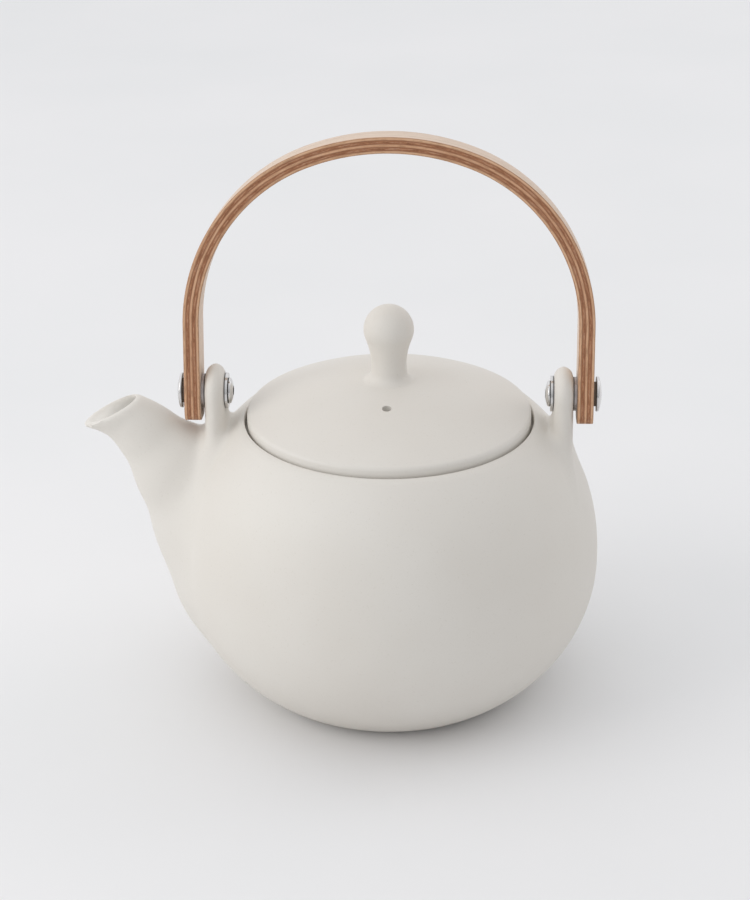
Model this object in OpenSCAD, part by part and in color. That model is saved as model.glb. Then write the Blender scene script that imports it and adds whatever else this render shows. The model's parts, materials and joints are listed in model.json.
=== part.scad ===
// Stoneware teapot with a bent-plywood bail handle.
// The origin is the middle of the foot on the table, +Z is up and the spout points along -X.

/* [Pot] */
// Radius of the body at its widest
body_r = 69; // [67:0.5:71]
// Height of the widest level above the table
belly_z = 46.2; // [45:0.1:48]
// Reach of the shoulder curve above the belly, if it ran on to the axis
shoulder_reach = 63.5; // [62:0.1:65]
// Reach of the lower curve below the belly, if it ran on to the axis
base_reach = 57.1; // [55:0.1:59]
// Fullness of the shoulder curve, where 2 is an ellipse
shoulder_power = 2.23; // [2.15:0.01:2.3]
// Thickness of the clay wall
wall = 4.6; // [4:0.1:5]
// Height of the rim above the table
rim_z = 94.8; // [94:0.1:95.5]
// Thickness of the floor
floor_t = 5; // [4:0.1:6]
// Width of the foot ring
foot_w = 5.5; // [4:0.5:8]
// Depth of the recess inside the foot ring
foot_depth = 2; // [1:0.1:3]

/* [Lid seat] */
// Radius of the recess that the lid drops into
gallery_r = 47; // [46.9:0.05:47.2]
// Height of the ledge that the lid rests on
ledge_z = 90.8; // [90:0.1:91.5]
// Radius of the mouth inside the ledge
mouth_r = 40.5; // [40:0.1:41]
// Thickness of the ledge
ledge_t = 4.5; // [4:0.1:5]

/* [Strainer] */
// Diameter of each strainer hole
strainer_d = 4.5; // [3:0.1:5]
// Spacing of the ring of strainer holes from the middle hole
strainer_ring = 8.5; // [7:0.1:9.5]
// Number of holes in the ring
strainer_count = 6; // [4:1:7]
// Height of the middle strainer hole
strainer_z = 59; // [57:0.5:61]

/* [Spout] */
// Thickness of the spout wall
spout_wall = 2.4; // [2.2:0.1:3]
// Tilt of the plane of the mouth of the spout from level
mouth_tilt = 28; // [26:1:32]

/* [Lugs] */
// Thickness of each lug
lug_t = 6.4; // [6:0.1:6.6]
// Radius of the rounded top of each lug
lug_r = 9.4; // [9:0.1:10.5]
// Half width of each lug at its root
lug_root = 14.5; // [12:0.5:16]
// Height of the handle pivot above the table
pivot_z = 103.4; // [103:0.1:104.5]

/* [Lid] */
// Radius of the lid
lid_r = 46.2; // [45.8:0.1:46.4]
// Height of the top of the dome above the table
dome_z = 108.3; // [107.5:0.1:109]
// Radius of the dome
dome_r = 104; // [100:1:110]
// Thickness of the lid
lid_t = 4.4; // [4:0.1:5]
// Rounding of the edge of the lid
lid_round = 1.5; // [1:0.1:2]
// Outer radius of the locating skirt under the lid
skirt_r = 39.6; // [39:0.1:39.7]
// Thickness of the skirt
skirt_t = 3.2; // [3:0.1:4]
// Depth of the skirt below the ledge
skirt_depth = 6; // [5:0.5:7]
// Diameter of the steam hole
steam_d = 3.1; // [2.5:0.1:4]
// Distance of the steam hole from the middle of the lid
steam_y = 20; // [18:0.5:24]

/* [Knob] */
// Radius of the head of the knob
knob_r = 8.1; // [7.8:0.1:8.4]
// Height of the middle of the head above the table
knob_z = 125.4; // [124.5:0.1:126]
// Radius of the narrowest part of the neck
neck_r = 5.7; // [5.4:0.1:6]
// Height of the narrowest part of the neck
neck_z = 113; // [112.5:0.1:113.5]
// Radius of the fillet at the foot of the neck
neck_fillet = 3.5; // [3:0.1:4]

/* [Handle] */
// Thickness of the plywood
ply_total = 5.2; // [5:0.05:5.5]
// Width of the strip
strip_w = 14; // [12:0.5:15]
// Radius of the crown, to the middle of the plywood
crown_r = 74.5; // [74:0.5:76]
// Radius of the shoulders, to the middle of the plywood
shoulder_r = 57.3; // [56.4:0.1:57.8]
// Height of the crown above the pivot, to the middle of the plywood
crown_h = 81.3; // [80:0.1:82]
// Length of each leg below the pivot
leg_tail = 9; // [8.4:0.1:9]
// Rounding of the corners of each leg
leg_round = 3.5; // [3:0.1:4]
// Angle that the handle leans back at rest
handle_lean = 9; // [0:0.5:20]

/* [Fasteners] */
// Radius of the sleeve that the handle turns on
sleeve_r = 3; // [2.8:0.05:3.2]
// Running clearance of the handle bore around the sleeve
bore_gap = 0.06; // [0.04:0.01:0.09]
// Radius of the outer head
head_r = 5.7; // [5.5:0.1:6]
// Thickness of the outer head
head_t = 1.9; // [1.6:0.1:2.2]
// Radius of the dark friction washer
friction_r = 4; // [3.8:0.1:4.4]
// Thickness of the dark friction washer
friction_t = 0.8; // [0.6:0.1:1]
// Radius of the spacer washer
spacer_r = 5.5; // [5:0.1:6]
// Thickness of the spacer washer
spacer_t = 1.1; // [0.7:0.1:1.2]
// Radius of the inner washer
washer_r = 5.8; // [5.4:0.1:6]
// Thickness of the inner washer
washer_t = 1; // [0.8:0.1:1.2]
// Radius of the head of the screw
screw_head_r = 4.2; // [3.9:0.1:4.6]
// Thickness of the head of the screw
screw_head_t = 1.8; // [1.6:0.1:2.2]
// Radius of the thread of the screw
screw_r = 2; // [1.8:0.05:2.1]

/* [Hidden] */
$fn = 96;
base_power = 2.03;
ply_t = ply_total / 5;
far = 200;
// the crown meets each shoulder on a line with this direction, a 44-117-125 triangle
meet_x = 0.352;
meet_z = 0.936;
shoulder_x = (crown_r - shoulder_r) * meet_x;
shoulder_z = crown_h - crown_r + (crown_r - shoulder_r) * meet_z;
// faces of the stack on one side, measured from the axis of the pot
side_gap = 0.08;
leg_mid = shoulder_x + shoulder_r;
leg_in = leg_mid - ply_total / 2;
leg_out = leg_mid + ply_total / 2;
lug_out = leg_in - side_gap - spacer_t;
lug_in = lug_out - lug_t;
friction_in = leg_out + side_gap;
head_in = friction_in + friction_t;
// balls along the outside of the spout: x, z and radius, from past the mouth to the belly
spout_path = [
    [-99.8, 102.1, 8], [-83, 91.3, 9.3], [-77.2, 84.4, 12.3],
    [-70.2, 75.8, 18], [-51, 60, 29], [-49, 41, 25]
];
mouth_x = -90.9;
mouth_z = 96.4;
spout_facets = 36;
spout_cut_x = -lug_out;
// the dome meets the edge of the lid at this height
dome_edge_z = dome_z - dome_r + sqrt(dome_r * dome_r - lid_r * lid_r);

// radius at height h above or below the belly, on a superellipse
function bow(radius, reach, power, h) =
    radius * pow(1 - pow(abs(h) / reach, power), 1 / power);

// radius of the body at height z, for a surface this far inside the outer one
function body_at(z, inset) =
    z < belly_z ? bow(body_r - inset, base_reach - inset, base_power, z - belly_z)
                : bow(body_r - inset, shoulder_reach - inset, shoulder_power, z - belly_z);

// outline points from one height to another
function body_curve(z_low, z_high, inset, steps) = [
    for (i = [0 : steps]) let (z = z_low + (z_high - z_low) * i / steps)
        [body_at(z, inset), z]
];

// the outside of the body as one solid, up to this height
module body_solid(top = rim_z) {
    rotate_extrude($fn = 180)
        polygon(concat([[0, 0]], body_curve(0, belly_z, 0, 12),
                       body_curve(belly_z + 4, top, 0, 12), [[0, top]]));
}

module body_cavity() {
    inner_floor = foot_depth + floor_t;
    ceiling = ledge_z - ledge_t;
    turn = ceiling - 6;
    rotate_extrude($fn = 180)
        polygon(concat([[0, inner_floor]], body_curve(inner_floor, belly_z, wall, 9),
                       body_curve(belly_z + 4, turn, wall, 7),
                       [[mouth_r, ceiling], [0, ceiling]]));
}

module strainer_holes() {
    places = concat([[0, 0]], [for (i = [0 : strainer_count - 1])
        strainer_ring * [cos(i * 360 / strainer_count), sin(i * 360 / strainer_count)]]);
    for (p = places)
        translate([-far / 2, p[0], strainer_z + p[1]])
            rotate([0, 90, 0])
                cylinder(h = 50, d = strainer_d, $fn = 32);
}

module pot_body() {
    color("#ded9d0")
        difference() {
            body_solid();
            body_cavity();
            translate([0, 0, ledge_z])
                cylinder(h = far, r = gallery_r, $fn = 180);
            cylinder(h = far, r = mouth_r, $fn = 180);
            translate([0, 0, -1])
                cylinder(h = foot_depth + 1, r = body_at(0, 0) - foot_w, $fn = 120);
            strainer_holes();
        }
}

// a chain of balls, each blended into the next, this far inside the outer surface
module spout_chain(inset) {
    for (i = [0 : len(spout_path) - 2])
        hull()
            for (ball = [spout_path[i], spout_path[i + 1]])
                translate([ball[0], 0, ball[1]])
                    sphere(r = ball[2] - inset, $fn = spout_facets);
}

module above_mouth() {
    translate([mouth_x, 0, mouth_z])
        rotate([0, -mouth_tilt, 0])
            translate([-far / 2, -far / 2, 0])
                cube([far, far, far / 4]);
}

module spout() {
    channel_cut_x = spout_cut_x - spout_wall;
    color("#ddd7cd")
        difference() {
            spout_chain(0);
            above_mouth();
            body_solid(rim_z);
            translate([spout_cut_x, -far / 2, 0])
                cube([far, far, far]);
            intersection() {
                spout_chain(spout_wall);
                translate([channel_cut_x - far, -far / 2, 0])
                    cube([far, far, far]);
            }
        }
}

// a cylinder along X from one distance to another, on the left (-1) or right (1) side
module pin(side, from, to, radius) {
    translate([side * from, 0, pivot_z])
        rotate([0, side * 90, 0])
            cylinder(h = to - from, r = radius, $fn = 48);
}

module lug(side) {
    difference() {
        translate([side * (lug_in + lug_t / 2) - lug_t / 2, 0, 0])
            rotate([90, 0, 90])
                linear_extrude(lug_t) {
                    translate([0, pivot_z])
                        circle(lug_r);
                    polygon([[-lug_r, pivot_z], [-lug_root, 75], [lug_root, 75], [lug_r, pivot_z]]);
                }
        body_solid(rim_z);
        pin(side, lug_in - 5, lug_out + 5, sleeve_r + 0.4);
    }
}

module lug_left() {
    color("#dcd6cb")
        lug(-1);
}

module lug_right() {
    color("#d8d4cc")
        lug(1);
}

// the section of the lid, without its skirt
module lid_section() {
    difference() {
        intersection() {
            translate([0, dome_z - dome_r])
                circle(dome_r, $fn = 360);
            translate([0, ledge_z])
                square([lid_r, far / 4]);
        }
        translate([0, dome_z - dome_r])
            circle(dome_r - lid_t, $fn = 360);
        lid_edge_corner();
    }
    // the flat bearing ring that rests on the ledge
    translate([skirt_r - skirt_t, ledge_z])
        square([lid_r - lid_round - skirt_r + skirt_t, dome_edge_z - ledge_z - lid_round]);
}

// what the rounding takes off the upper edge of the lid
module lid_edge_corner() {
    difference() {
        translate([lid_r - lid_round, dome_edge_z - lid_round])
            square(far);
        translate([lid_r - lid_round, dome_edge_z - lid_round])
            circle(lid_round);
    }
}

module lid() {
    color("#e2ded5")
        difference() {
            union() {
                rotate_extrude($fn = 180)
                    lid_section();
                rotate_extrude($fn = 180)
                    translate([skirt_r - skirt_t, ledge_z - skirt_depth])
                        square([skirt_t, skirt_depth + 4]);
            }
            translate([0, -steam_y, ledge_z])
                cylinder(h = 30, d = steam_d, $fn = 32);
        }
}

// half of the pear shape of the knob: a round head on a neck that sweeps in and out again
module knob_section() {
    sweep_x = (pow(neck_z - knob_z, 2) + neck_r * neck_r - knob_r * knob_r) / (2 * (knob_r - neck_r));
    tangent = knob_r / (sweep_x + knob_r);
    intersection() {
        translate([0, knob_z])
            circle(knob_r);
        square(far);
    }
    difference() {
        translate([0, dome_z - 3])
            square([(neck_r + sweep_x) * tangent, knob_z - (knob_z - neck_z) * tangent - dome_z + 3]);
        translate([neck_r + sweep_x, neck_z])
            circle(sweep_x, $fn = 180);
    }
    difference() {
        translate([0, dome_z - 3])
            square([neck_r + neck_fillet, neck_fillet + 3]);
        translate([neck_r + 0.2 + neck_fillet, dome_z + neck_fillet])
            circle(neck_fillet);
    }
}

module lid_knob() {
    color("#ddd8d0")
        difference() {
            rotate_extrude($fn = 120)
                knob_section();
            translate([0, 0, dome_z - dome_r])
                sphere(r = dome_r, $fn = 360);
        }
}

// part of a ring between two directions from its centre
module ring_part(mid_r, inner, outer, from, to) {
    intersection() {
        difference() {
            circle(mid_r + outer, $fn = 360);
            circle(mid_r + inner, $fn = 360);
        }
        polygon([[0, 0], 2 * far * from, 2 * far * to]);
    }
}

// one layer of the strip, seen from the front, with the pivot line at height 0
module ply_outline(inner, outer) {
    translate([0, crown_h - crown_r])
        ring_part(crown_r, inner, outer, [meet_x, meet_z], [-meet_x, meet_z]);
    for (side = [0, 1])
        mirror([side, 0]) {
            translate([shoulder_x, shoulder_z])
                ring_part(shoulder_r, inner, outer, [1, 0], [meet_x, meet_z]);
            translate([leg_mid + inner, -leg_tail])
                square([outer - inner, leg_tail + shoulder_z]);
        }
}

// side view of the strip with rounded corners at the foot of the legs
module strip_side() {
    core_w = strip_w - 2 * leg_round;
    translate([-strip_w / 2, leg_round - leg_tail])
        square([strip_w, far]);
    translate([-core_w / 2, -leg_tail])
        square([core_w, far]);
    for (side = [-1, 1])
        translate([side * core_w / 2, leg_round - leg_tail])
            circle(leg_round);
}

// layer 0 is the outer face and layer 4 is the inner face
module ply(layer) {
    outer = ply_total / 2 - layer * ply_t;
    translate([0, 0, pivot_z])
        rotate([-handle_lean, 0, 0])
            difference() {
                intersection() {
                    translate([0, strip_w / 2, 0])
                        rotate([90, 0, 0])
                            linear_extrude(strip_w)
                                ply_outline(outer - ply_t, outer);
                    translate([-far / 2, 0, 0])
                        rotate([90, 0, 90])
                            linear_extrude(far)
                                strip_side();
                }
                translate([-far / 2, 0, 0])
                    rotate([0, 90, 0])
                        cylinder(h = far, r = sleeve_r + bore_gap, $fn = 48);
            }
}

module handle_face_ply_outer() {
    color("#c9a384")
        ply(0);
}

module handle_cross_ply_outer() {
    color("#95684a")
        ply(1);
}

module handle_core_ply() {
    color("#c29a79")
        ply(2);
}

module handle_cross_ply_inner() {
    color("#95684a")
        ply(3);
}

module handle_face_ply_inner() {
    color("#c9a384")
        ply(4);
}

// a low domed disc along X, with its dome facing outward (1) or inward (-1)
module domed_disc(side, flat_x, outward, thickness, radius) {
    rise = thickness / 2;
    ball = (radius * radius + rise * rise) / (2 * rise);
    translate([side * flat_x, 0, pivot_z])
        rotate([0, side * outward * 90, 0])
            rotate_extrude()
                intersection() {
                    square([radius, 2 * thickness]);
                    translate([0, thickness - ball])
                        circle(ball, $fn = 180);
                }
}

// the outer head and the sleeve that the handle turns on, tapped for the screw
module barrel_nut(side) {
    difference() {
        union() {
            domed_disc(side, head_in, 1, head_t, head_r);
            pin(side, lug_in, head_in + 0.5, sleeve_r);
        }
        pin(side, lug_in - 1, head_in - 1, screw_r);
    }
}

// the screw comes from inside the pot's lug and has a hexagon socket
module screw(side) {
    head_face = lug_in - washer_t;
    socket_r = 1.6;
    difference() {
        union() {
            domed_disc(side, head_face, -1, screw_head_t, screw_head_r);
            pin(side, head_face - 0.3, head_in - 3, screw_r);
        }
        translate([side * (head_face - screw_head_t - 1), 0, pivot_z])
            rotate([0, side * 90, 0])
                linear_extrude(2.2)
                    polygon([for (i = [0 : 5]) socket_r * [cos(60 * i), sin(60 * i)]]);
    }
}

module washer(side, from, to, radius, hole_r) {
    difference() {
        pin(side, from, to, radius);
        pin(side, from - 1, to + 1, hole_r);
    }
}

module inner_washer(side) {
    color("#b9b9ba")
        washer(side, lug_in - washer_t, lug_in, washer_r, screw_r + 0.2);
}

module spacer_washer(side) {
    color("#b4b4b6")
        washer(side, lug_out, lug_out + spacer_t, spacer_r, sleeve_r + 0.05);
}

module friction_washer(side) {
    color("#2c2b2a")
        washer(side, friction_in, head_in, friction_r, sleeve_r + 0.05);
}

module barrel_nut_left() {
    color("#c4c4c6")
        barrel_nut(-1);
}

module barrel_nut_right() {
    color("#c4c4c6")
        barrel_nut(1);
}

module screw_left() {
    color("#cfcfd1")
        screw(-1);
}

module screw_right() {
    color("#cfcfd1")
        screw(1);
}

pot_body();
spout();
lug_left();
lug_right();
lid();
lid_knob();
handle_face_ply_outer();
handle_cross_ply_outer();
handle_core_ply();
handle_cross_ply_inner();
handle_face_ply_inner();
barrel_nut_left();
screw_left();
inner_washer(-1);  // inner_washer_left
spacer_washer(-1);  // spacer_washer_left
friction_washer(-1);  // friction_washer_left
barrel_nut_right();
screw_right();
inner_washer(1);  // inner_washer_right
spacer_washer(1);  // spacer_washer_right
friction_washer(1);  // friction_washer_right
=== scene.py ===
"""A stoneware teapot with a bent-plywood bail handle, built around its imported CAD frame."""

import json
import math

import bmesh
import bpy
import numpy as np
from mathutils import Matrix, Vector


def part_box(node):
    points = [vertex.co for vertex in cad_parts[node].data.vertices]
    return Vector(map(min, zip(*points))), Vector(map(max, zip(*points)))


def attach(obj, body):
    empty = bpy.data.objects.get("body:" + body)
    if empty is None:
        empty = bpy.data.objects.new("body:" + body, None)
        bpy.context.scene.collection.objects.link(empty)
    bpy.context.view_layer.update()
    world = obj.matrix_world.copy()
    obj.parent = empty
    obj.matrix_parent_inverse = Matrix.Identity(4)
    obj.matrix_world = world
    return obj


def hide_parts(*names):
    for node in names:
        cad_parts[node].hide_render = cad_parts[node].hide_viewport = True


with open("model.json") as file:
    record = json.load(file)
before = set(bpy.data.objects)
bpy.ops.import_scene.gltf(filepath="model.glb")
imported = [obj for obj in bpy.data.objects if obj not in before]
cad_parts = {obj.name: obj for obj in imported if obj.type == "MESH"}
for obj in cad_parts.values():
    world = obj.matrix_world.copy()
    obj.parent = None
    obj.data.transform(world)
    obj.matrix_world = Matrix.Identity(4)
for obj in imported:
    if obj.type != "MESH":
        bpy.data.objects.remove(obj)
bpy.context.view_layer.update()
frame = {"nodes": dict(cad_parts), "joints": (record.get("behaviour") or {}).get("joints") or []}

# Lengths are in millimetres until a mesh is made.
MM = 0.001


def box_mm(node):
    """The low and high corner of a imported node."""
    low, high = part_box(node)
    return np.array(low) / MM, np.array(high) / MM


POT_HIGH = box_mm("pot_body")[1]
LID_LOW, LID_HIGH = box_mm("lid")
KNOB_HIGH = box_mm("lid_knob")[1]
LUG_LOW, LUG_HIGH = box_mm("lug_right")
PLY_HIGH = box_mm("handle_face_ply_outer")[1]
INNER_PLY_HIGH = box_mm("handle_face_ply_inner")[1]
NUT_LOW, NUT_HIGH = box_mm("barrel_nut_right")
SCREW_LOW, SCREW_HIGH = box_mm("screw_right")
WASHER_LOW, WASHER_HIGH = box_mm("inner_washer_right")
FIBRE_HIGH = box_mm("friction_washer_right")[1]
HINGE = next(j for j in frame["joints"] if j["name"] == "handle_swing")

# the pot
BODY_R = POT_HIGH[0]
RIM_Z = POT_HIGH[2]
PIVOT_Z = HINGE["pos_m"][2] / MM
BELLY_Z = 46.2
SHOULDER_REACH = 63.5
SHOULDER_POWER = 2.23
BASE_REACH = 57.1
BASE_POWER = 2.03
WALL = 4.6
FLOOR_Z = 7
FOOT_W = 5.5
FOOT_DEPTH = 2
FOOT_ROUND = 3
RIM_ROUND = 1.2
TABLE_ROUND = 1
POT_STEP = 1.0
POT_MARGIN = 2
# the lid seat
GALLERY_R = 47
LEDGE_Z = 90.8
LEDGE_T = 4.5
MOUTH_R = 40.5
LIP_ROUND = 0.7
# the spout: balls along its outside, as x, z and radius, from past the mouth to the belly
SPOUT_BALLS = [
    (-98.9, 101, 10),
    (-85.5, 93.6, 7.1),
    (-79.4, 87.9, 9.2),
    (-68.5, 75, 14.7),
    (-55.9, 56.9, 21.8),
    (-42.8, 41.8, 30.1),
]
SPOUT_NARROW = 0.86
SPOUT_WALL = 2.2
SPOUT_LINK = 5
SPOUT_BLEND = 9
MOUTH_X = -90.9
MOUTH_Z = 96.4
MOUTH_TILT = math.radians(28)
LIP_EDGE = 1.5
# the hollow of the spout sits a little up and towards the pot. Over the mouth it joins a ball of open
# air, which starts just above the lip and rolls its inner edge over
CHANNEL_SHIFT_X = 0.7
CHANNEL_SHIFT_Z = 0.3
OPEN_AIR_R = 12
OPEN_AIR_LIFT = 0.45
LIP_ROLL = 2.4
# the hollow stops this far outside the body, and never comes nearer the pot's axis than this x
CHANNEL_GAP = 0.2
CHANNEL_ROUND = 2
CHANNEL_X = -62
CHANNEL_X_ROUND = 3
CHANNEL_LOW = (-112, -32, 12)
CHANNEL_HIGH = (-60, 32, 114)
CHANNEL_STEP = 0.8
# the strainer: one hole with a ring of holes round it, drilled through the wall behind the spout
STRAINER_R = 2.25
STRAINER_RING = 8.5
STRAINER_COUNT = 6
STRAINER_Z = 59
STRAINER_X = (-71, -52)
# the lugs
LUG_T = LUG_HIGH[0] - LUG_LOW[0]
LUG_X = (LUG_HIGH[0] + LUG_LOW[0]) / 2
LUG_R = LUG_HIGH[2] - PIVOT_Z - 0.5
LUG_FLARE = 0.011
LUG_EDGE = 4.5
LUG_BLEND = 4
LUG_ROOT_Z = 75
LUG_ROOT_ROUND = 4
LUG_BORE_R = 3.4
# the paler colour painted inside as bounce light starts this deep below the outer surface, and is full
# this much deeper
INSIDE_LIGHT_START = 0.5
INSIDE_LIGHT_FADE = 1.3
# edges sharper than this stay sharp, in degrees
CLAY_CREASE = 38
WOOD_CREASE = 30
STEEL_CREASE = 35
# the lid
LID_R = LID_HIGH[0]
DOME_Z = LID_HIGH[2]
DOME_R = 104
LID_T = 4.4
SKIRT_R = 39.6
SKIRT_T = 3.2
STEAM_R = 1.55
STEAM_Y = -20
KNOB_R = 8.1
KNOB_Z = KNOB_HIGH[2] - KNOB_R
NECK_R = 5.7
NECK_Z = 113
NECK_FILLET = 3.6
# the handle: a crown arc and two shoulder arcs, which meet at the angle MEET from upright
LEAN = math.radians(9)
STRIP_W = 14
PLY_COUNT = 5
CROWN_R = 74.5
CROWN_H = 81.3
SHOULDER_R = 57.3
MEET = math.atan2(0.352, 0.936)
SHOULDER_X = (CROWN_R - SHOULDER_R) * math.sin(MEET)
SHOULDER_Z = CROWN_H - CROWN_R + (CROWN_R - SHOULDER_R) * math.cos(MEET)
LEG_TAIL = 9
LEG_ROUND = 3.5
LEG_END = CROWN_R * MEET + SHOULDER_R * (math.pi / 2 - MEET) + SHOULDER_Z + LEG_TAIL
PLY_TOTAL = PLY_HIGH[0] - INNER_PLY_HIGH[0] + (PLY_HIGH[0] - INNER_PLY_HIGH[0]) / (PLY_COUNT - 1)
SEAM_ROUND = 0.06
STRIP_ROUND = 0.45
PLY_T = PLY_TOTAL / PLY_COUNT
SLEEVE_BORE_R = 3.06
# the fasteners, along the pivot line on the right
SLEEVE_R = 3
SCREW_R = 2
SOCKET_R = 1.6
SOCKET_DEPTH = 1.2
LUG_IN = WASHER_HIGH[0]
SCREW_HEAD_X = WASHER_LOW[0]
NUT_HEAD_X = FIBRE_HIGH[0]


# ---- fields: negative inside, about one per millimetre near the surface ----


def smooth_min(a, b, k):
    """The union of two fields, blended where they differ by less than k."""
    h = np.maximum(k - np.abs(a - b), 0) / k
    return np.minimum(a, b) - h * h * k / 4


def smooth_max(a, b, k):
    return -smooth_min(-a, -b, k)


def bow_field(radius, height, width, reach, power):
    """Distance to a superellipse of revolution, good near its surface."""
    u = radius / width
    v = np.abs(height) / reach
    gauge = np.maximum(u**power + v**power, 1e-9) ** (1 / power)
    slope = gauge ** (1 - power) * np.hypot(
        u ** (power - 1) / width, v ** (power - 1) / reach
    )
    return (gauge - 1) / np.maximum(slope, 1e-3)


def body_field(x, y, z):
    """The bowed body: one curve above the belly and another below it."""
    radius = np.hypot(x, y)
    height = z - BELLY_Z
    upper = bow_field(radius, height, BODY_R, SHOULDER_REACH, SHOULDER_POWER)
    lower = bow_field(radius, height, BODY_R, BASE_REACH, BASE_POWER)
    return np.where(height > 0, upper, lower)


def trimmed_body_field(x, y, z):
    field = smooth_max(body_field(x, y, z), -z, FOOT_ROUND)
    return smooth_max(field, z - RIM_Z, RIM_ROUND)


def cone_field(x, y, z, a, b):
    """Distance to two balls and the cone that touches them both."""
    run_x = b[0] - a[0]
    run_z = b[1] - a[1]
    length2 = run_x**2 + run_z**2
    drop = a[2] - b[2]
    slant2 = length2 - drop**2
    ax = x - a[0]
    az = z - a[1]
    along = ax * run_x + az * run_z
    past = along - length2
    across2 = (
        (ax * length2 - run_x * along) ** 2
        + (y * length2) ** 2
        + (az * length2 - run_z * along) ** 2
    )
    along2 = along**2 * length2
    past2 = past**2 * length2
    limit = np.sign(drop) * drop**2 * across2
    side = (np.sqrt(across2 * slant2 / length2) + along * drop) / length2 - a[2]
    near_b = np.sqrt(across2 + past2) / length2 - b[2]
    near_a = np.sqrt(across2 + along2) / length2 - a[2]
    field = np.where(np.sign(along) * slant2 * along2 < limit, near_a, side)
    return np.where(np.sign(past) * slant2 * past2 > limit, near_b, field)


def spout_chain_field(x, y, z, inset):
    """The chain of balls and cones, this far inside the outside of the spout."""
    wide_y = y / SPOUT_NARROW
    balls = [(bx, bz, r - inset) for bx, bz, r in SPOUT_BALLS]
    field = cone_field(x, wide_y, z, balls[0], balls[1])
    for a, b in zip(balls[1:], balls[2:]):
        field = smooth_min(field, cone_field(x, wide_y, z, a, b), SPOUT_LINK)
    return field


def above_mouth(x, z):
    """Height above the plane of the mouth of the spout."""
    return (z - MOUTH_Z) * math.cos(MOUTH_TILT) - (x - MOUTH_X) * math.sin(MOUTH_TILT)


def spout_field(x, y, z):
    return smooth_max(spout_chain_field(x, y, z, 0), above_mouth(x, z), LIP_EDGE)


def lug_field(x, y, z, side):
    """A round-topped plate that flares towards its root in the pot."""
    below = np.maximum(PIVOT_Z - z, 0)
    above = np.maximum(z - PIVOT_Z, 0)
    outline = np.hypot(y, above) - (LUG_R + LUG_FLARE * below**2)
    plate = np.abs(x - side * LUG_X) - LUG_T / 2
    return smooth_max(smooth_max(plate, outline, LUG_EDGE), LUG_ROOT_Z - z, LUG_ROOT_ROUND)


def pot_field(x, y, z):
    field = smooth_min(trimmed_body_field(x, y, z), spout_field(x, y, z), SPOUT_BLEND)
    for side in (-1, 1):
        field = smooth_min(field, lug_field(x, y, z, side), LUG_BLEND)
    return smooth_max(field, -z, TABLE_ROUND)


def channel_field(x, y, z):
    """The hollow of the spout, up to the outside of the body. At the mouth it opens out over the lip."""
    hollow = spout_chain_field(x - CHANNEL_SHIFT_X, y, z - CHANNEL_SHIFT_Z, SPOUT_WALL)
    open_air = np.sqrt((x - MOUTH_X) ** 2 + y**2 + (z - MOUTH_Z) ** 2) - OPEN_AIR_R
    open_air = np.maximum(open_air, OPEN_AIR_LIFT - above_mouth(x, z))
    hollow = smooth_min(hollow, open_air, LIP_ROLL)
    hollow = smooth_max(hollow, CHANNEL_GAP - body_field(x, y, z), CHANNEL_ROUND)
    return smooth_max(hollow, x - CHANNEL_X, CHANNEL_X_ROUND)


# ---- meshes ----


def edge_crossings(values, axis):
    """The grid edges along one axis where the sign changes: start index, share of the way, and sign."""
    first = np.take(values, range(values.shape[axis] - 1), axis)
    last = np.take(values, range(1, values.shape[axis]), axis)
    index = np.argwhere((first < 0) != (last < 0))
    a = first[tuple(index.T)]
    b = last[tuple(index.T)]
    return index, a / (a - b), a < 0


def surface_net(field, low, high, step):
    """One vertex in each grid cell that the surface passes through, joined into quads."""
    axes = [np.arange(low[i], high[i] + step, step) for i in range(3)]
    values = field(*np.meshgrid(*axes, indexing="ij"))
    cells = np.array(values.shape) - 1
    total = np.zeros((cells.prod(), 3))
    count = np.zeros(cells.prod())
    quads = []
    for axis in range(3):
        index, share, inside = edge_crossings(values, axis)
        place = index.astype(float)
        place[:, axis] += share
        u, v = (axis + 1) % 3, (axis + 2) % 3
        around = []
        for du, dv in ((0, 0), (-1, 0), (-1, -1), (0, -1)):
            cell = index.copy()
            cell[:, u] += du
            cell[:, v] += dv
            flat = np.ravel_multi_index(np.clip(cell, 0, cells - 1).T, cells)
            around.append(flat)
            count += np.bincount(flat, minlength=len(count))
            for i in range(3):
                total[:, i] += np.bincount(flat, place[:, i], minlength=len(count))
        quad = np.stack(around, 1)
        quad[~inside] = quad[~inside][:, ::-1]
        quads.append(quad)
    used = np.flatnonzero(count)
    number = np.full(len(count), -1)
    number[used] = np.arange(len(used))
    points = total[used] / count[used, None] * step + np.array(low)
    return points, number[np.concatenate(quads)]


def settle(field, points, rounds=4):
    """Moves points on to the surface, along the slope of the field."""
    reach = 0.05
    least_size2 = 0.2
    longest_move = 1
    for _ in range(rounds):
        value = field(*points.T)
        slope = np.empty_like(points)
        for i in range(3):
            shift = np.zeros(3)
            shift[i] = reach
            slope[:, i] = (field(*(points + shift).T) - field(*(points - shift).T)) / (2 * reach)
        size2 = np.maximum((slope**2).sum(1), least_size2)
        move = np.clip(value / size2, -longest_move, longest_move)
        points = points - move[:, None] * slope
    return points


def mesh_object(name, points_mm, faces):
    mesh = bpy.data.meshes.new(name)
    mesh.from_pydata((np.asarray(points_mm, float) * MM).tolist(), [], [list(f) for f in faces])
    mesh.update()
    thing = bpy.data.objects.new(name, mesh)
    bpy.context.scene.collection.objects.link(thing)
    return thing


def field_object(name, field, low, high, step):
    points, quads = surface_net(field, low, high, step)
    return mesh_object(name, settle(field, points), quads.tolist())


def outward(thing):
    """Turns every face of a closed mesh outward."""
    work = bmesh.new()
    work.from_mesh(thing.data)
    bmesh.ops.recalc_face_normals(work, faces=work.faces)
    work.to_mesh(thing.data)
    work.free()
    return thing


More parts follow.
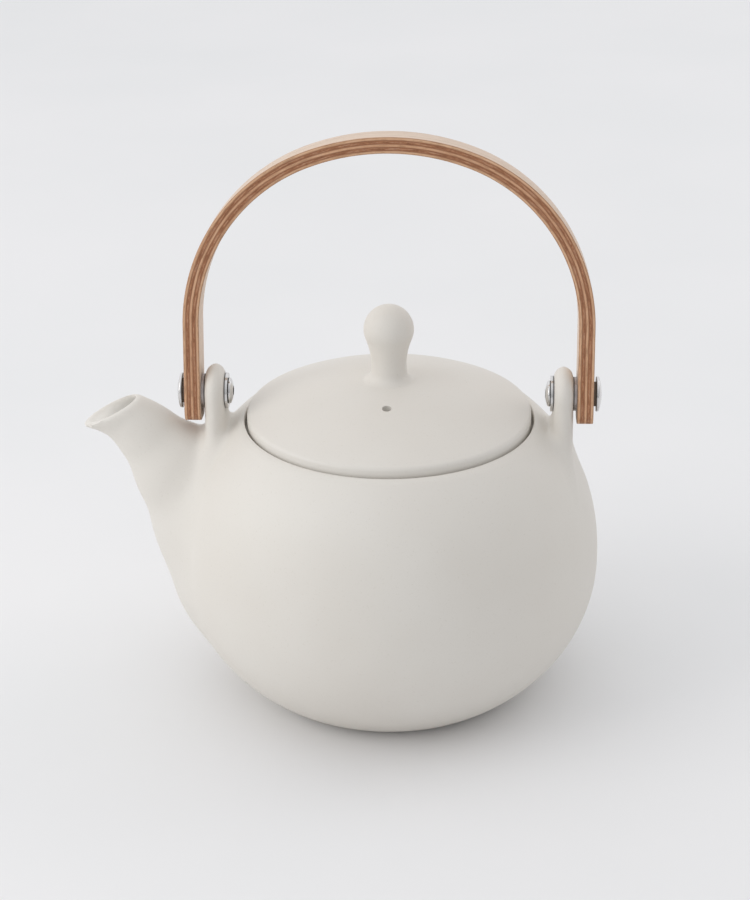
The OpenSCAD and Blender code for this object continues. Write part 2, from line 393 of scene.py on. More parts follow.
def rounded(corners, steps=6):
    """A line through the corners, given as (x, y, rounding)."""
    line = []
    for i, (x, y, r) in enumerate(corners):
        here = np.array([x, y], float)
        if r == 0:
            line.append(here)
            continue
        back = np.array(corners[i - 1][:2], float) - here
        ahead = np.array(corners[i + 1][:2], float) - here
        back /= np.linalg.norm(back)
        ahead /= np.linalg.norm(ahead)
        half = math.acos(np.clip(back @ ahead, -1, 1)) / 2
        middle = (back + ahead) / np.linalg.norm(back + ahead)
        centre = here + middle * r / math.sin(half)
        start = here + back * r / math.tan(half) - centre
        finish = here + ahead * r / math.tan(half) - centre
        for t in np.linspace(0, 1, steps + 1):
            turn = start * (1 - t) + finish * t
            line.append(centre + turn / np.linalg.norm(turn) * r)
    return line


def lathe(name, profile, segments=192):
    """A closed solid of revolution. The profile starts and ends on the axis."""
    ring = [(math.cos(a), math.sin(a)) for a in np.linspace(0, 2 * math.pi, segments, endpoint=False)]
    points = [(0, 0, profile[0][1])]
    for r, z in profile[1:-1]:
        points += [(r * c, r * s, z) for c, s in ring]
    points.append((0, 0, profile[-1][1]))
    faces = []
    last = len(points) - 1
    rows = len(profile) - 2
    for i in range(segments):
        j = (i + 1) % segments
        faces.append((0, 1 + j, 1 + i))
        faces.append((last, 1 + (rows - 1) * segments + i, 1 + (rows - 1) * segments + j))
        for row in range(rows - 1):
            base = 1 + row * segments
            faces.append((base + i, base + j, base + segments + j, base + segments + i))
    return outward(mesh_object(name, points, faces))


def rod(name, start, end, radius, segments=48):
    """A cylinder between two points, for cutting holes."""
    start, end = Vector(start), Vector(end)
    length = (end - start).length
    thing = lathe(name, [(0, 0), (radius, 0), (radius, length), (0, length)], segments)
    turn = Vector((0, 0, 1)).rotation_difference(end - start).to_matrix().to_4x4()
    thing.data.transform(Matrix.Translation(start * MM) @ turn)
    return thing


def pivot_rod(name, side, start, end, radius, segments=48):
    """A cylinder on the pivot line, between two distances from the axis of the pot."""
    return rod(name, (side * start, 0, PIVOT_Z), (side * end, 0, PIVOT_Z), radius, segments)


def joined(things):
    """Several closed meshes that don't touch, as one object."""
    work = bmesh.new()
    for thing in things:
        work.from_mesh(thing.data)
    work.to_mesh(things[0].data)
    work.free()
    for thing in things[1:]:
        bpy.data.objects.remove(thing)
    return things[0]


def cut(thing, cutter):
    """Takes the cutter's volume out of a closed mesh."""
    modifier = thing.modifiers.new("cut", "BOOLEAN")
    modifier.operation = "DIFFERENCE"
    modifier.solver = "MANIFOLD"
    modifier.object = cutter
    depsgraph = bpy.context.evaluated_depsgraph_get()
    mesh = bpy.data.meshes.new_from_object(thing.evaluated_get(depsgraph))
    mesh.materials.clear()
    thing.modifiers.clear()
    thing.data = mesh
    bpy.data.objects.remove(cutter)


def smooth(thing, crease_deg):
    """Smooth shading, with the edges sharper than the crease left sharp."""
    thing.data.shade_smooth()
    thing.data.set_sharp_from_angle(angle=math.radians(crease_deg))


# ---- the pot ----


def body_at(z, inset):
    """Radius of the body at a height, on a surface this far inside the outer one."""
    height = z - BELLY_Z
    reach, power = (BASE_REACH, BASE_POWER) if height < 0 else (SHOULDER_REACH, SHOULDER_POWER)
    return (BODY_R - inset) * (1 - (abs(height) / (reach - inset)) ** power) ** (1 / power)


def cavity_profile():
    """The inside of the pot, with the ledge, the seat of the lid and the rounded lip."""
    ceiling = LEDGE_Z - LEDGE_T
    wall_foot = FLOOR_Z + 4
    floor_r = body_at(wall_foot, WALL) - 5
    above = RIM_Z + 3
    corners = [(0, FLOOR_Z, 0), (floor_r, FLOOR_Z, 4)]
    corners += [(body_at(z, WALL), z, 0) for z in np.linspace(wall_foot, ceiling - 6, 36)]
    corners += [
        (MOUTH_R, ceiling, 1),
        (MOUTH_R, LEDGE_Z, 0.6),
        (GALLERY_R, LEDGE_Z, 0.5),
        (GALLERY_R, RIM_Z - LIP_ROUND, 0),
    ]
    lip = [
        (GALLERY_R + LIP_ROUND * (1 - math.cos(a)), RIM_Z - LIP_ROUND + LIP_ROUND * math.sin(a), 0)
        for a in np.linspace(0.2, math.pi / 2, 6)
    ]
    corners += lip + [(GALLERY_R + LIP_ROUND, above, 0), (0, above, 0)]
    return rounded(corners)


def foot_profile():
    """The recess inside the foot ring, a little wider at the table."""
    recess_r = body_at(0, 0) - FOOT_W
    below = -1
    return rounded(
        [(0, below, 0), (recess_r + 0.5, below, 0), (recess_r, FOOT_DEPTH, 1), (0, FOOT_DEPTH, 0)]
    )


def strainer_rods():
    places = [(0, 0)]
    places += [
        (STRAINER_RING * math.cos(a), STRAINER_RING * math.sin(a))
        for a in np.linspace(0, 2 * math.pi, STRAINER_COUNT, endpoint=False)
    ]
    start, end = STRAINER_X
    return joined(
        [rod(f"strainer{i}", (start, y, STRAINER_Z + z), (end, y, STRAINER_Z + z), STRAINER_R, 24)
         for i, (y, z) in enumerate(places)]
    )


def lug_bores():
    start, end = LUG_X - 8, LUG_X + 8
    return joined([pivot_rod(f"bore{side}", side, start, end, LUG_BORE_R) for side in (-1, 1)])


def mark_inside(pot):
    """Stores 1 on the inside of the pot and the spout, where a paler colour is painted in as bounce
    light, and 0 on the bare outside.
    """
    x, y, z = np.array([v.co for v in pot.data.vertices]).T / MM
    depth = np.clip((-pot_field(x, y, z) - INSIDE_LIGHT_START) / INSIDE_LIGHT_FADE, 0, 1)
    painted_light_inside = (z < LEDGE_Z - 2) & (z > FLOOR_Z - 1) | (x < CHANNEL_X)
    attribute = pot.data.attributes.new("inside", "FLOAT", "POINT")
    attribute.data.foreach_set("value", np.where(painted_light_inside, depth, 0).astype(np.float32))


def build_pot(material):
    spout_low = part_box("spout")[0] / MM
    side = BODY_R + POT_MARGIN
    low = (spout_low[0] - POT_MARGIN, -side, -1.5)
    high = (side, side, LUG_HIGH[2] + POT_MARGIN)
    step = POT_STEP
    pot = field_object("teapot_body", pot_field, low, high, step)
    hollow = field_object("hollow", channel_field, CHANNEL_LOW, CHANNEL_HIGH, CHANNEL_STEP)
    cut(pot, lathe("cavity", cavity_profile(), 256))
    cut(pot, hollow)
    cut(pot, strainer_rods())
    cut(pot, lug_bores())
    cut(pot, lathe("recess", foot_profile()))
    mark_inside(pot)
    smooth(pot, CLAY_CREASE)
    pot.data.materials.append(material)
    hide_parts("pot_body", "spout", "lug_left", "lug_right")
    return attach(pot, "pot")


# ---- the lid and its knob ----


def dome_line(radius, r_from, r_to, steps):
    """Points on the dome or on its underside, between two distances from the axis."""
    centre = DOME_Z - DOME_R
    return [(r, centre + math.sqrt(radius**2 - r**2)) for r in np.linspace(r_from, r_to, steps)]


def knob_line():
    """The knob, up its hollow-sided neck and over the round head."""
    rise = KNOB_Z - NECK_Z
    sweep = (rise**2 + NECK_R**2 - KNOB_R**2) / (2 * (KNOB_R - NECK_R))
    meet = math.atan2(rise, NECK_R + sweep)
    foot = -0.1
    neck = [
        (NECK_R + sweep - sweep * math.cos(a), NECK_Z + sweep * math.sin(a))
        for a in np.linspace(foot, meet, 14)
    ]
    head = [
        (KNOB_R * math.cos(a), KNOB_Z + KNOB_R * math.sin(a))
        for a in np.linspace(-meet, math.pi / 2, 26)[1:-1]
    ]
    return neck + head + [(0, KNOB_Z + KNOB_R)]


def lid_profile():
    """Under the dome, round the skirt and the bearing edge, then over the dome and the knob."""
    edge_z = DOME_Z - DOME_R + math.sqrt(DOME_R**2 - LID_R**2)
    under = dome_line(DOME_R - LID_T, 0, SKIRT_R - SKIRT_T, 14)
    corners = [(r, z, 0) for r, z in under[:-1]]
    corners += [
        (*under[-1], 1.5),
        (SKIRT_R - SKIRT_T, LID_LOW[2], 1),
        (SKIRT_R, LID_LOW[2], 1),
        (SKIRT_R, LEDGE_Z, 0.4),
        (LID_R, LEDGE_Z, 0.8),
        (LID_R, edge_z, 1.6),
    ]
    corners += [(r, z, 0) for r, z in dome_line(DOME_R, LID_R - 3, NECK_R + 6, 30)]
    corners.append((NECK_R + 0.1, DOME_Z - 0.1, NECK_FILLET))
    above_fillet = 4
    corners += [(r, z, 0) for r, z in knob_line()[above_fillet:]]
    return rounded(corners)


def build_lid(material):
    lid = lathe("teapot_lid", lid_profile(), 256)
    cut(lid, rod("steam", (0, STEAM_Y, LEDGE_Z), (0, STEAM_Y, DOME_Z + 2), STEAM_R, 40))
    smooth(lid, CLAY_CREASE)
    lid.data.materials.append(material)
    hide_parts("lid", "lid_knob")
    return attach(lid, "lid")


# ---- the handle ----


def strip_path():
    """Stations from the middle of the crown to the right foot.

    Each is the centre of its arc as x and z, the radius, the direction, and the length so far.
    """
    half = []
    crown_length = CROWN_R * MEET
    for a in np.linspace(0, MEET, 22):
        half.append((0, CROWN_H - CROWN_R, CROWN_R, a, CROWN_R * a))
    for a in np.linspace(MEET, math.pi / 2, 60)[1:]:
        half.append((SHOULDER_X, SHOULDER_Z, SHOULDER_R, a, crown_length + SHOULDER_R * (a - MEET)))
    leg_start = half[-1][4]
    drops = list(np.linspace(0, SHOULDER_Z + LEG_TAIL - LEG_ROUND, 12)[1:])
    drops += [drops[-1] + LEG_ROUND * math.sin(t) for t in np.linspace(0, math.pi / 2, 9)[1:]]
    for drop in drops:
        half.append((SHOULDER_X + SHOULDER_R, SHOULDER_Z - drop, 0, math.pi / 2, leg_start + drop))
    return half


def station_point(station, offset):
    """The point of a station this far outside the middle of the strip."""
    x, z, radius, angle, _ = station
    return x + (radius + offset) * math.sin(angle), z + (radius + offset) * math.cos(angle)


def half_width(station, last):
    """Half the width of the strip, less where the foot of the leg is rounded."""
    to_end = last - station[4]
    if to_end >= LEG_ROUND:
        return STRIP_W / 2
    inset = LEG_ROUND - to_end
    return STRIP_W / 2 - LEG_ROUND + math.sqrt(max(LEG_ROUND**2 - inset**2, 0))


def ply_section(layer):
    """The section of one veneer, as (offset, share of the half width, inset), anticlockwise."""
    outer = PLY_TOTAL / 2 - layer * PLY_T
    inner = outer - PLY_T
    section = []
    for side in (-1, 1):
        ends = [(inner, STRIP_ROUND if layer == PLY_COUNT - 1 else SEAM_ROUND, 1),
                (outer, STRIP_ROUND if layer == 0 else SEAM_ROUND, -1)]
        if side > 0:
            ends.reverse()
        for level, size, inward in ends:
            arc = [(level + inward * size * (1 - math.sin(t)), size * (1 - math.cos(t)))
                   for t in np.linspace(0, math.pi / 2, 5)]
            if (side < 0) == (inward > 0):
                arc.reverse()
            section += [(o, side, i) for o, i in arc]
    return section


def leaned(points):
    """From the strip's own upright frame to the row frame, with the pivot line at its height."""
    x, y, z = np.asarray(points, float).T
    return np.stack([
        x,
        y * math.cos(LEAN) + z * math.sin(LEAN),
        z * math.cos(LEAN) - y * math.sin(LEAN) + PIVOT_Z,
    ], 1)


def upright(points):
    """The other way round from leaned."""
    x, y, z = np.asarray(points, float).T
    z = z - PIVOT_Z
    return np.stack([
        x,
        y * math.cos(LEAN) - z * math.sin(LEAN),
        z * math.cos(LEAN) + y * math.sin(LEAN),
    ], 1)


def strip_coordinates(points):
    """For points in the upright frame: length along the strip, place across it, and depth."""
    x, y, z = points.T
    side = np.where(x < 0, -1, 1)
    x = np.abs(x)
    crown_a = np.arctan2(x, z - (CROWN_H - CROWN_R))
    shoulder_a = np.arctan2(x - SHOULDER_X, z - SHOULDER_Z)
    on_crown = crown_a <= MEET
    on_leg = z < SHOULDER_Z
    length = CROWN_R * MEET + SHOULDER_R * (shoulder_a - MEET)
    length = np.where(on_crown, CROWN_R * crown_a, length)
    length = np.where(on_leg, LEG_END - LEG_TAIL - z, length)
    depth = np.hypot(x - SHOULDER_X, z - SHOULDER_Z) - SHOULDER_R
    depth = np.where(on_crown, np.hypot(x, z - (CROWN_H - CROWN_R)) - CROWN_R, depth)
    depth = np.where(on_leg, x - SHOULDER_X - SHOULDER_R, depth)
    return np.stack([length * side, y, depth], 1)


def ply_mesh(name, layer):
    """One veneer: its section carried along the strip from the left foot to the right one."""
    half = strip_path()
    last = half[-1][4]
    stations = [(s, -1) for s in half[:0:-1]] + [(s, 1) for s in half]
    section = ply_section(layer)
    least_width = 0.2
    points = []
    for station, side in stations:
        width = half_width(station, last)
        for offset, edge, inset in section:
            x, z = station_point(station, offset)
            points.append((side * x, edge * max(width - inset, least_width), z))
    count = len(section)
    faces = [list(range(count)), list(range(len(points) - count, len(points)))]
    for row in range(len(stations) - 1):
        for i in range(count):
            j = (i + 1) % count
            base = row * count
            faces.append((base + i, base + j, base + count + j, base + count + i))
    return outward(mesh_object(name, leaned(points), faces))


def mark_strip(thing):
    """Stores length, width and depth in the strip on the mesh, in metres, for the wood grain."""
    points = np.array([v.co for v in thing.data.vertices]) / MM
    marks = strip_coordinates(upright(points)) * MM
    attribute = thing.data.attributes.new("strip", "FLOAT_VECTOR", "POINT")
    attribute.data.foreach_set("vector", marks.astype(np.float32).ravel())


def build_ply(name, node, layer, material):
    ply = ply_mesh(name, layer)
    reach = PLY_HIGH[0] + 5
    cut(ply, pivot_rod("sleeve_bore", 1, -reach, reach, SLEEVE_BORE_R))
    mark_strip(ply)
    smooth(ply, WOOD_CREASE)
    ply.data.materials.append(material)
    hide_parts(node)
    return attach(ply, "handle")


# ---- the fasteners ----


def turned(name, side, profile):
    """A lathed piece about the pivot line, from (radius, x) points of the right-hand one."""
    thing = lathe(name, profile, 96)
    thing.data.transform(Matrix(((0, 0, side, 0), (0, 1, 0, 0), (1, 0, 0, PIVOT_Z * MM), (0, 0, 0, 1))))
    return outward(thing)


def domed_head(flat_x, away, radius, thickness):
    """A head from the edge of its flat face to the top of its dome, as (radius, x, rounding)."""
    rise = thickness / 2
    ball = (radius**2 + rise**2) / (2 * rise)
    dome = [
        (r, flat_x + away * (thickness - ball + math.sqrt(ball**2 - r**2)), 0)
        for r in np.linspace(radius - 1.1, 0, 10)
    ]
    return [(radius, flat_x, 0.25), (radius, flat_x + away * rise, 0.45)] + dome


def build_nut(side):
    """A sleeve that runs up to its domed head, with the bore for the screw."""
    sleeve = [(0, LUG_IN, 0), (SLEEVE_R, LUG_IN, 0), (SLEEVE_R, NUT_HEAD_X, 0)]
    head = domed_head(NUT_HEAD_X, 1, (NUT_HIGH[2] - NUT_LOW[2]) / 2, NUT_HIGH[0] - NUT_HEAD_X)
    nut = turned("outer_nut", side, rounded(sleeve + head))
    cut(nut, pivot_rod("nut_bore", side, LUG_IN - 1, NUT_HEAD_X - 1, SCREW_R))
    return nut


def build_screw(side):
    """A shank and a domed head, with a hexagon socket in the head."""
    tip = SCREW_HIGH[0]
    shank = [(0, tip, 0), (SCREW_R, tip, 0.3), (SCREW_R, SCREW_HEAD_X, 0)]
    head = domed_head(SCREW_HEAD_X, -1, (SCREW_HIGH[2] - SCREW_LOW[2]) / 2, SCREW_HEAD_X - SCREW_LOW[0])
    screw = turned("inner_screw", side, rounded(shank + head))
    end = SCREW_LOW[0]
    cut(screw, pivot_rod("socket", side, end - 1, end + SOCKET_DEPTH, SOCKET_R, 6))
    return screw


def build_fastener(build, side, node, material):
    thing = build(side)
    thing.name = f"{thing.name}_{'left' if side < 0 else 'right'}"
    smooth(thing, STEEL_CREASE)
    thing.data.materials.append(material)
    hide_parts(node)
    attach(thing, "pot")


# ---- materials ----


class Nodes:
    """A small helper that adds and links shader nodes."""

    def __init__(self, name):
        self.material = bpy.data.materials.new(name)
        self.material.use_nodes = True
        self.tree = self.material.node_tree
        self.shader = self.tree.nodes["Principled BSDF"]

    def add(self, kind, **values):
        node = self.tree.nodes.new(kind)
        for key, value in values.items():
            setattr(node, key, value)
        return node

    def link(self, source, target):
        self.tree.links.new(source, target)

    def feed(self, socket, value):
        """Links a socket's value to an input, or sets it to a fixed value."""
        if isinstance(value, bpy.types.NodeSocket):
            self.link(value, socket)
        else:
            socket.default_value = value

    def place(self, scale, attribute=None):
        """Object coordinates, or a stored attribute, scaled per axis."""
        if attribute:
            source = self.add("ShaderNodeAttribute", attribute_name=attribute).outputs["Vector"]
        else:
            source = self.add("ShaderNodeTexCoord").outputs["Object"]
        mapping = self.add("ShaderNodeMapping")
        mapping.inputs["Scale"].default_value = scale
        self.link(source, mapping.inputs["Vector"])
        return mapping.outputs["Vector"]

    def noise(self, place, detail, roughness=0.5, distortion=0):
        """Noise with features about one over the place's scale in size."""
        node = self.add("ShaderNodeTexNoise")
        node.inputs["Scale"].default_value = 1
        node.inputs["Detail"].default_value = detail
        node.inputs["Roughness"].default_value = roughness
        node.inputs["Distortion"].default_value = distortion
        self.link(place, node.inputs["Vector"])
        return node.outputs["Fac"]

    def ramp(self, value, stops):
        """Colour by value, from (position, colour) stops."""
        node = self.add("ShaderNodeValToRGB")
        elements = node.color_ramp.elements
        while len(elements) < len(stops):
            elements.new(0.5)
        for element, (position, colour) in zip(elements, stops):
            element.position = position
            element.color = (*colour, 1)
        self.link(value, node.inputs["Fac"])
        return node.outputs["Color"]

    def mix(self, factor, a, b):
        """Colour a where the factor is 0 and colour b where it is 1."""
        node = self.add("ShaderNodeMix", data_type="RGBA")
        self.feed(node.inputs[0], factor)
        for socket, colour in zip([s for s in node.inputs if s.type == "RGBA"], (a, b)):
            self.feed(socket, (*colour, 1) if isinstance(colour, tuple) else colour)
        return [s for s in node.outputs if s.type == "RGBA"][0]

    def math(self, operation, a, b=0.5):
        node = self.add("ShaderNodeMath", operation=operation)
        for socket, value in zip(node.inputs, (a, b)):
            self.feed(socket, value)
        return node.outputs[0]

    def range(self, value, low, high, new_low=0, new_high=1):
        """The value carried from one range to another, and held at its ends."""
        node = self.add("ShaderNodeMapRange")
        self.link(value, node.inputs["Value"])
        names = ("From Min", "From Max", "To Min", "To Max")
        for name, number in zip(names, (low, high, new_low, new_high)):
            node.inputs[name].default_value = number
        return node.outputs["Result"]

    def bump(self, height, depth, strength, normal=None):
        node = self.add("ShaderNodeBump")
        node.inputs["Strength"].default_value = strength
        node.inputs["Distance"].default_value = depth
        self.link(height, node.inputs["Height"])
        if normal is not None:
            self.link(normal, node.inputs["Normal"])
        return node.outputs["Normal"]

    def finish(self, colour, roughness, normal=None, **fixed):
        """Wires the surface up and returns the material."""
        self.link(colour, self.shader.inputs["Base Color"])
        self.feed(self.shader.inputs["Roughness"], roughness)
        if normal is not None:
            self.link(normal, self.shader.inputs["Normal"])
        for key, value in fixed.items():
            self.shader.inputs[key.replace("_", " ")].default_value = value
        return self.material


def srgb(r, g, b):
    """Linear colour from the usual 0 to 255 values."""
    def one(v):
        v = v / 255
        return v / 12.92 if v <= 0.04045 else ((v + 0.055) / 1.055) ** 2.4
    return one(r), one(g), one(b)


def stoneware():
    """Matte off-white clay with faint clouds and specks, and a paler colour painted on the marked inside
    as bounce light.
    """
    n = Nodes("matte_stoneware")
    cloud = n.noise(n.place((22, 22, 22)), detail=2)
    colour = n.ramp(cloud, [(0.3, srgb(221, 216, 208)), (0.7, srgb(225, 221, 214))])
    speck = n.noise(n.place((1500, 1500, 1500)), detail=2, roughness=0.6)
    colour = n.mix(n.range(speck, 0.62, 0.75, 0, 0.35), colour, srgb(205, 199, 188))
    grain = n.noise(n.place((900, 900, 900)), detail=3, roughness=0.6)
    roughness = n.range(grain, 0.3, 0.7, 0.5, 0.62)
    # painted light: the inside of the pot and the spout is made paler, standing in for the light that
    # bounces about in there
    inside = n.add("ShaderNodeAttribute", attribute_name="inside").outputs["Fac"]
    colour = n.mix(inside, colour, srgb(243, 240, 234))
    wave = n.noise(n.place((60, 60, 60)), detail=1)
    normal = n.bump(wave, 0.0004, 0.25)
    normal = n.bump(grain, 0.00006, 0.5, normal)
    return n.finish(colour, roughness, normal, Specular_IOR_Level=0.42)


def strip_outline(n, parts):
    """How far outside the strip's outline a point is, seen flat, in metres: below 0 on its face."""
    corner = LEG_ROUND * MM
    across = n.math("ABSOLUTE", parts.outputs["Y"])
    along = n.math("ABSOLUTE", parts.outputs["X"])
    past_side = n.math("MAXIMUM", n.math("SUBTRACT", across, STRIP_W / 2 * MM - corner), 0)
    past_end = n.math("MAXIMUM", n.math("SUBTRACT", along, LEG_END * MM - corner), 0)
    square = n.math("ADD", n.math("POWER", past_side, 2), n.math("POWER", past_end, 2))
    return n.math("SUBTRACT", n.math("SQRT", square), corner)


def veneer(name, layer, face_tones, edge_tones, seam_tone, along, across):
    """Wood with its grain along the strip, or across it for a cross ply."""
    n = Nodes(name)
    parts = n.add("ShaderNodeSeparateXYZ")
    n.link(n.add("ShaderNodeAttribute", attribute_name="strip").outputs["Vector"], parts.inputs[0])
    on_edge = n.range(strip_outline(n, parts), -0.5 * MM, -0.2 * MM)
    grain = n.noise(n.place((along, across, 1400), "strip"), detail=5, roughness=0.62, distortion=0.6)
    face = n.ramp(grain, [(0.35, face_tones[1]), (0.62, face_tones[0])])
    edge = n.ramp(grain, [(0.3, edge_tones[1]), (0.66, edge_tones[0])])
    colour = n.mix(on_edge, face, edge)
    streak = n.noise(n.place((240, 1600, 2100), "strip"), detail=3, roughness=0.72)
    deep = tuple(c * 0.45 for c in edge_tones[1])
    fleck = n.math("MULTIPLY", n.range(streak, 0.5, 0.62), n.range(on_edge, 0, 1, 0.15, 0.52))
    colour = n.mix(fleck, colour, deep)
    gleam = n.math("MULTIPLY", n.range(streak, 0.5, 0.38), n.range(on_edge, 0, 1, 0.1, 0.26))
    colour = n.mix(gleam, colour, face_tones[1])
    middle = (PLY_TOTAL / 2 - (layer + 0.5) * PLY_T) * MM
    depth = n.math("ABSOLUTE", n.math("SUBTRACT", parts.outputs["Z"], middle))
    seam = n.range(depth, (PLY_T / 2 - 0.34) * MM, (PLY_T / 2 - 0.12) * MM, 0, 0.7)
    colour = n.mix(n.math("MULTIPLY", seam, on_edge), colour, seam_tone)
    normal = n.bump(grain, 0.00008, 0.5)
    roughness = n.range(grain, 0.3, 0.7, 0.42, 0.55)
    return n.finish(colour, roughness, normal, Specular_IOR_Level=0.4)


def steel(name, tone, roughness, shaded_seams, hollow=0):
    """Steel with painted shade: darkened where it meets the next piece, at the given x places, and
    inside the hollow radius, where shade falls in the crevices.
    """
    n = Nodes(name)
    parts = n.add("ShaderNodeSeparateXYZ")
    n.link(n.place((1, 1, 1)), parts.inputs[0])
    # near black: the colour of the painted shade in the crevices
    dark = (0.02, 0.018, 0.016)
    smear = n.noise(n.place((900, 900, 900)), detail=4)
    colour = n.ramp(smear, [(0.3, tuple(c * 0.9 for c in tone)), (0.7, tone)])
    out = n.math("ABSOLUTE", parts.outputs["X"])
    # painted shade: a dark band at each joint with the next piece, standing in for the shade in the
    # crevice
    for seam in shaded_seams:
        away = n.math("ABSOLUTE", n.math("SUBTRACT", out, seam * MM))
        colour = n.mix(n.range(away, 0.12 * MM, 0.4 * MM, 0.85, 0), colour, dark)
    # painted shade in the hollow round the pivot line: the socket of the screw and the groove where the
    # head sits in the washer
    if hollow:
        up = n.math("ABSOLUTE", n.math("SUBTRACT", parts.outputs["Z"], PIVOT_Z * MM))
        across = n.math("ABSOLUTE", parts.outputs["Y"])
        square = n.math("ADD", n.math("POWER", up, 2), n.math("POWER", across, 2))
        reach = n.math("SQRT", square)
        colour = n.mix(n.range(reach, (hollow - 0.3) * MM, hollow * MM, 0.8, 0), colour, dark)
    rough = n.range(smear, 0.3, 0.7, roughness - 0.03, roughness + 0.03)
    normal = n.bump(n.noise(n.place((300, 3000, 3000)), detail=2), 0.00002, 0.3)
    return n.finish(colour, rough, normal, Metallic=1.0)


def washer_fibre():
    """Matte grey-brown fibre."""
    n = Nodes("dark_washer")
    grain = n.noise(n.place((2500, 2500, 2500)), detail=3)
    colour = n.ramp(grain, [(0.3, srgb(128, 113, 102)), (0.7, srgb(152, 137, 125))])
    return n.finish(colour, 0.75, n.bump(grain, 0.00005, 0.5))


def dress(node, material, edge=0):
    """Gives a CAD node, which keeps its shape, a better material and softer edges."""
    thing = frame["nodes"][node]
    if not thing.material_slots:
        thing.data.materials.append(material)
    for slot in thing.material_slots:
        slot.material = material
    if edge:
        bevel = thing.modifiers.new("soft_edges", "BEVEL")
        bevel.width = edge * MM
        bevel.segments = 4
        bevel.limit_method = "ANGLE"
        bevel.angle_limit = math.radians(40)


# ---- stage, light and camera ----


def build_floor():
    n = Nodes("pale_floor")
    cloud = n.noise(n.place((6, 6, 6)), detail=3)
    colour = n.ramp(cloud, [(0.3, srgb(232, 232, 232)), (0.7, srgb(236, 235, 235))])
    half = 4000
    corners = [(-half, -half, 0), (half, -half, 0), (half, half, 0), (-half, half, 0)]
    floor = mesh_object("floor", corners, [(0, 1, 2, 3)])
    floor.data.materials.append(n.finish(colour, 0.9))


def area_light(name, place, target, size, power, colour=(1, 1, 1)):
    light = bpy.data.lights.new(name, "AREA")
    light.size = size
    light.energy = power
    light.color = colour
    thing = bpy.data.objects.new(name, light)
    bpy.context.scene.collection.objects.link(thing)
    thing.location = place
    thing.rotation_euler = (Vector(target) - Vector(place)).to_track_quat("-Z", "Y").to_euler()


def build_world():
    """Soft light from all round, brightest on the spout's side and dimmest where the camera stands."""
    brightest_way = (-0.4, 0.5, 0.77)
    dimmest, brightest = 0.31, 1.07
    tint = (0.98, 0.99, 1.012, 1)
    world = bpy.data.worlds.new("studio")
    world.use_nodes = True
    tree = world.node_tree
    background = tree.nodes["Background"]
    direction = tree.nodes.new("ShaderNodeTexCoord").outputs["Generated"]
    aim = tree.nodes.new("ShaderNodeVectorMath")
    aim.operation = "DOT_PRODUCT"
    aim.inputs[1].default_value = brightest_way
    tree.links.new(direction, aim.inputs[0])
    spread = tree.nodes.new("ShaderNodeMapRange")
    spread.inputs["From Min"].default_value = -1
    spread.inputs["From Max"].default_value = 1
    spread.inputs["To Min"].default_value = dimmest
    spread.inputs["To Max"].default_value = brightest
    tree.links.new(aim.outputs["Value"], spread.inputs["Value"])
    tree.links.new(spread.outputs["Result"], background.inputs["Strength"])
    background.inputs["Color"].default_value = tint
    bpy.context.scene.world = world


def build_light():
    build_world()
    aim = (0, 0, 0.07)
    area_light("window", (-1.1, -0.45, 0.6), aim, 0.9, 4.3, (1, 0.99, 0.97))
    area_light("fill", (1.3, 0.7, 0.95), aim, 0.9, 2.2)
    bpy.context.scene.view_settings.view_transform = "Standard"


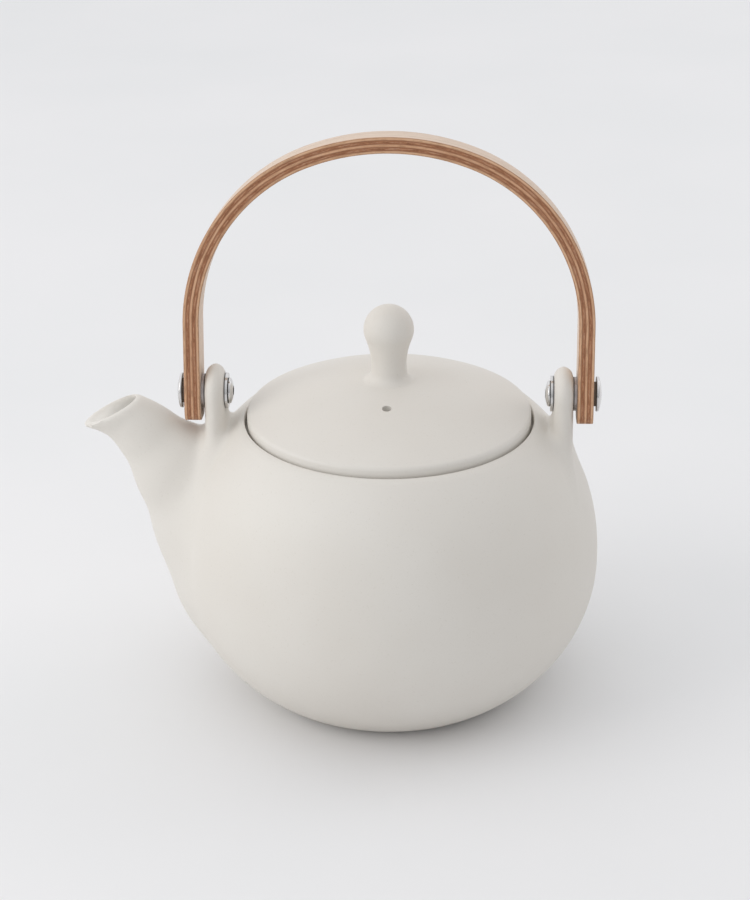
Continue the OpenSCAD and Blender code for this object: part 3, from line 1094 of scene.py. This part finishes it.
def build_camera():
    """A long lens from a little above, turned a few degrees about the pot and very slightly rolled."""
    distance = 0.8
    elevation = math.radians(24.87)
    yaw = math.radians(2.5)
    roll = math.radians(-0.44)
    aim = Matrix.Rotation(yaw, 3, "Z") @ Vector((-0.0047, 0, 0.08269))
    level = math.cos(elevation)
    back = Vector((math.sin(yaw) * level, -math.cos(yaw) * level, math.sin(elevation)))
    right = Vector((math.cos(yaw), math.sin(yaw), 0))
    up = back.cross(right)
    turned_right = right * math.cos(roll) + up * math.sin(roll)
    turned_up = up * math.cos(roll) - right * math.sin(roll)
    data = bpy.data.cameras.new("camera")
    data.sensor_width = 36
    data.lens = 97.6
    camera = bpy.data.objects.new("camera", data)
    bpy.context.scene.collection.objects.link(camera)
    camera.matrix_world = Matrix.Translation(aim + back * distance) @ Matrix(
        (turned_right, turned_up, back)
    ).transposed().to_4x4()
    bpy.context.scene.camera = camera


def build_handle():
    face = (srgb(226, 205, 186), srgb(206, 180, 156))
    outer_edge = (srgb(222, 182, 146), srgb(198, 150, 114))
    core_edge = (srgb(218, 172, 135), srgb(192, 142, 106))
    cut_ends = (srgb(180, 126, 89), srgb(144, 93, 62))
    layers = [
        ("face_ply_outer", "handle_face_ply_outer", "wood_face", outer_edge),
        ("cross_ply_outer", "handle_cross_ply_outer", "wood_cross", cut_ends),
        ("core_ply", "handle_core_ply", "wood_core", core_edge),
        ("cross_ply_inner", "handle_cross_ply_inner", "wood_cross", cut_ends),
        ("face_ply_inner", "handle_face_ply_inner", "wood_face", outer_edge),
    ]
    for layer, (name, node, slot, edge) in enumerate(layers):
        along, across = (900, 60) if slot == "wood_cross" else (26, 900)
        material = veneer(f"{name}_veneer", layer, face, edge, cut_ends[1], along, across)
        build_ply(name, node, layer, material)


def build_fasteners():
    # each steel gets painted shade at its joints, and the screw and washer also get it in their hollows
    screw_steel = steel("polished_steel", (0.74, 0.73, 0.72), 0.16, [SCREW_HEAD_X], 1.9)
    nut_steel = steel("head_steel", (0.74, 0.72, 0.71), 0.18, [NUT_HEAD_X])
    ring = steel("washer_steel", (0.7, 0.69, 0.68), 0.22, [LUG_IN], 4.6)
    spacer = steel("spacer_steel", (0.44, 0.4, 0.39), 0.4, [LUG_IN + LUG_T])
    fibre = washer_fibre()
    for side, word in ((-1, "left"), (1, "right")):
        build_fastener(build_nut, side, f"barrel_nut_{word}", nut_steel)
        build_fastener(build_screw, side, f"screw_{word}", screw_steel)
        dress(f"inner_washer_{word}", ring, 0.35)
        dress(f"spacer_washer_{word}", spacer, 0.2)
        dress(f"friction_washer_{word}", fibre)


clay = stoneware()
build_pot(clay)
build_lid(clay)
build_handle()
build_fasteners()
build_floor()
build_light()
build_camera()
